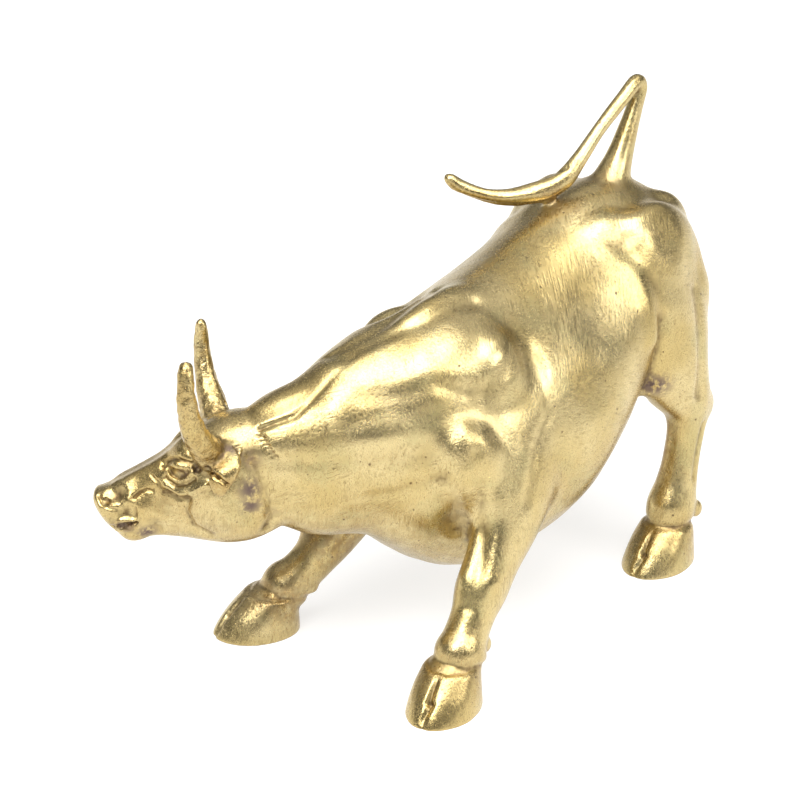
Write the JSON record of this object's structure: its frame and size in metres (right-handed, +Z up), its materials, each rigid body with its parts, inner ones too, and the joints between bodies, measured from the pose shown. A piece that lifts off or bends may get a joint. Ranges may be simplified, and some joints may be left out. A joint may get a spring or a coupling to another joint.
{
  "type": "bull figurine",
  "caption": "Brass bull about to butt, with lowered turned head, up-curved horns, arched tail and braced legs, cast in one piece and standing on its hooves.",
  "frame": {"origin": "on the surface that the bull stands on, under the middle of its box", "axes": "+Z up, -Y ahead of the bull's body, +X to the bull's left"},
  "size_m": [0.1156, 0.209, 0.1604],
  "materials": {
    "brass": "polished cast brass with fine brushed file strokes, small casting pits and dark patina in the creases"
  },
  "bodies": {
    "root": {"bull": "brass"}
  },
  "joints": []
}
